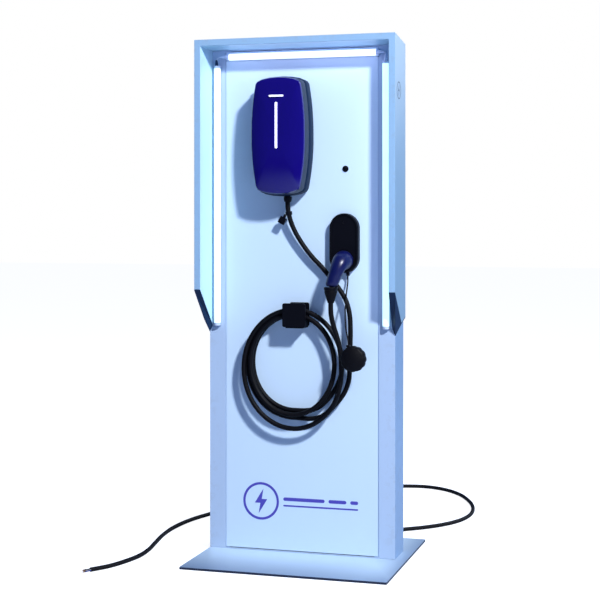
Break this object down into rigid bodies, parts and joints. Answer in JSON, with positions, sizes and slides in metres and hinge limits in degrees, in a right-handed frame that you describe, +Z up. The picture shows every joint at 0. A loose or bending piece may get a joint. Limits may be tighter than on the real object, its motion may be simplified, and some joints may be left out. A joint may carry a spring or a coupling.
{
  "type": "ev charging post",
  "caption": "Floor-standing sheet-metal charging post with a lit hood, a wallbox charger, a holstered connector and its coiled cable.",
  "frame": {"origin": "on the floor, in the middle of the foot plate's and hood's footprint, cords left out", "axes": "+Z up, -Y out of the front panel, +X to the right as seen from the front"},
  "size_m": [1.0964, 1.7785, 1.8],
  "materials": {
    "powder_white": "pale blue-white powder coat, fine satin",
    "plate_blue_white": "pale blue-white powder coat, satin, worn at the edges",
    "dark_cap": "dark navy paint, matt",
    "anodised": "clear anodised extrusion",
    "diffuser": "opal diffuser, lit",
    "lamp_end": "moulded, fine satin",
    "gloss_indigo": "deep indigo, high gloss",
    "slate": "dark slate blue, fine texture",
    "light_bar": "clear light guide, lit",
    "zinc": "zinc plated",
    "board_green": "solder mask",
    "black_plastic": "black, fine moulded texture",
    "handle_blue": "dark blue, satin gloss",
    "grey_plastic": "light grey moulding",
    "rubber": "black, matt",
    "copper": "bare stranded copper"
  },
  "bodies": {
    "post": {"base_plate": "plate_blue_white", "base_screw_1": "zinc", "base_screw_2": "zinc", "base_screw_3": "zinc", "base_screw_4": "zinc", "body_shell": "powder_white", "breaker_body": "grey_plastic", "button_bezel": "black_plastic", "button_switch": "grey_plastic", "cable_clip": "black_plastic", "cable_hook": "black_plastic", "cap_lanyard": "rubber", "charge_cable_coil": "rubber", "charge_cable_lower": "rubber", "charge_cable_upper": "rubber", "din_rail": "zinc", "door_hinge_1": "zinc", "door_hinge_2": "zinc", "dust_cap": "rubber", "front_panel": "powder_white", "holster": "black_plastic", "hood_frame": "powder_white", "lamp_driver": "grey_plastic", "led_base_left": "anodised", "led_base_right": "anodised", "led_base_top": "anodised", "led_cover_left": "diffuser", "led_cover_right": "diffuser", "led_cover_top": "diffuser", "led_end_left_a": "lamp_end", "led_end_left_b": "lamp_end", "led_end_right_a": "lamp_end", "led_end_right_b": "lamp_end", "led_end_top_a": "lamp_end", "led_end_top_b": "lamp_end", "mounting_tray": "zinc", "output_gland": "black_plastic", "supply_cable": "rubber", "supply_cores": "copper", "supply_gland": "black_plastic", "wallbox_back_shell": "slate", "wallbox_board": "board_green", "wallbox_bracket": "zinc", "wallbox_cover": "gloss_indigo", "wallbox_light_bar": "light_bar", "wallbox_relay": "black_plastic", "wallbox_terminals": "grey_plastic", "wing_end_left": "dark_cap", "wing_end_right": "dark_cap"},
    "connector": {"connector_body": "handle_blue", "connector_nose": "black_plastic", "connector_insert": "grey_plastic", "connector_collar": "black_plastic", "connector_nut": "rubber"},
    "button": {"button_cap": "black_plastic"},
    "door": {"rear_door": "powder_white"},
    "lock": {"lock_barrel": "zinc", "lock_cam": "zinc"},
    "breaker_toggle": {"breaker_lever": "black_plastic"}
  },
  "joints": [
    {"name": "connector_pull", "type": "slide", "parent": "post", "child": "connector", "axis": [0, -1, 0], "range_m": [0, 0.055]},
    {"name": "button_press", "type": "slide", "parent": "post", "child": "button", "axis": [0, 1, 0], "range_m": [0, 0.0035], "stiffness_N_per_m": 300, "springref_m": -0.003},
    {"name": "rear_door_hinge", "type": "hinge", "parent": "post", "child": "door", "pos_m": [-0.2955, 0.1268, 0.86], "axis": [0, 0, 1], "range_deg": [0, 110]},
    {"name": "lock_turn", "type": "hinge", "parent": "door", "child": "lock", "pos_m": [0.2065, 0.1211, 0.86], "axis": [0, -1, 0], "range_deg": [0, 90]},
    {"name": "breaker_flip", "type": "hinge", "parent": "post", "child": "breaker_toggle", "pos_m": [-0.0835, 0.0684, 0.82], "axis": [-1, 0, 0], "range_deg": [0, 56]}
  ]
}
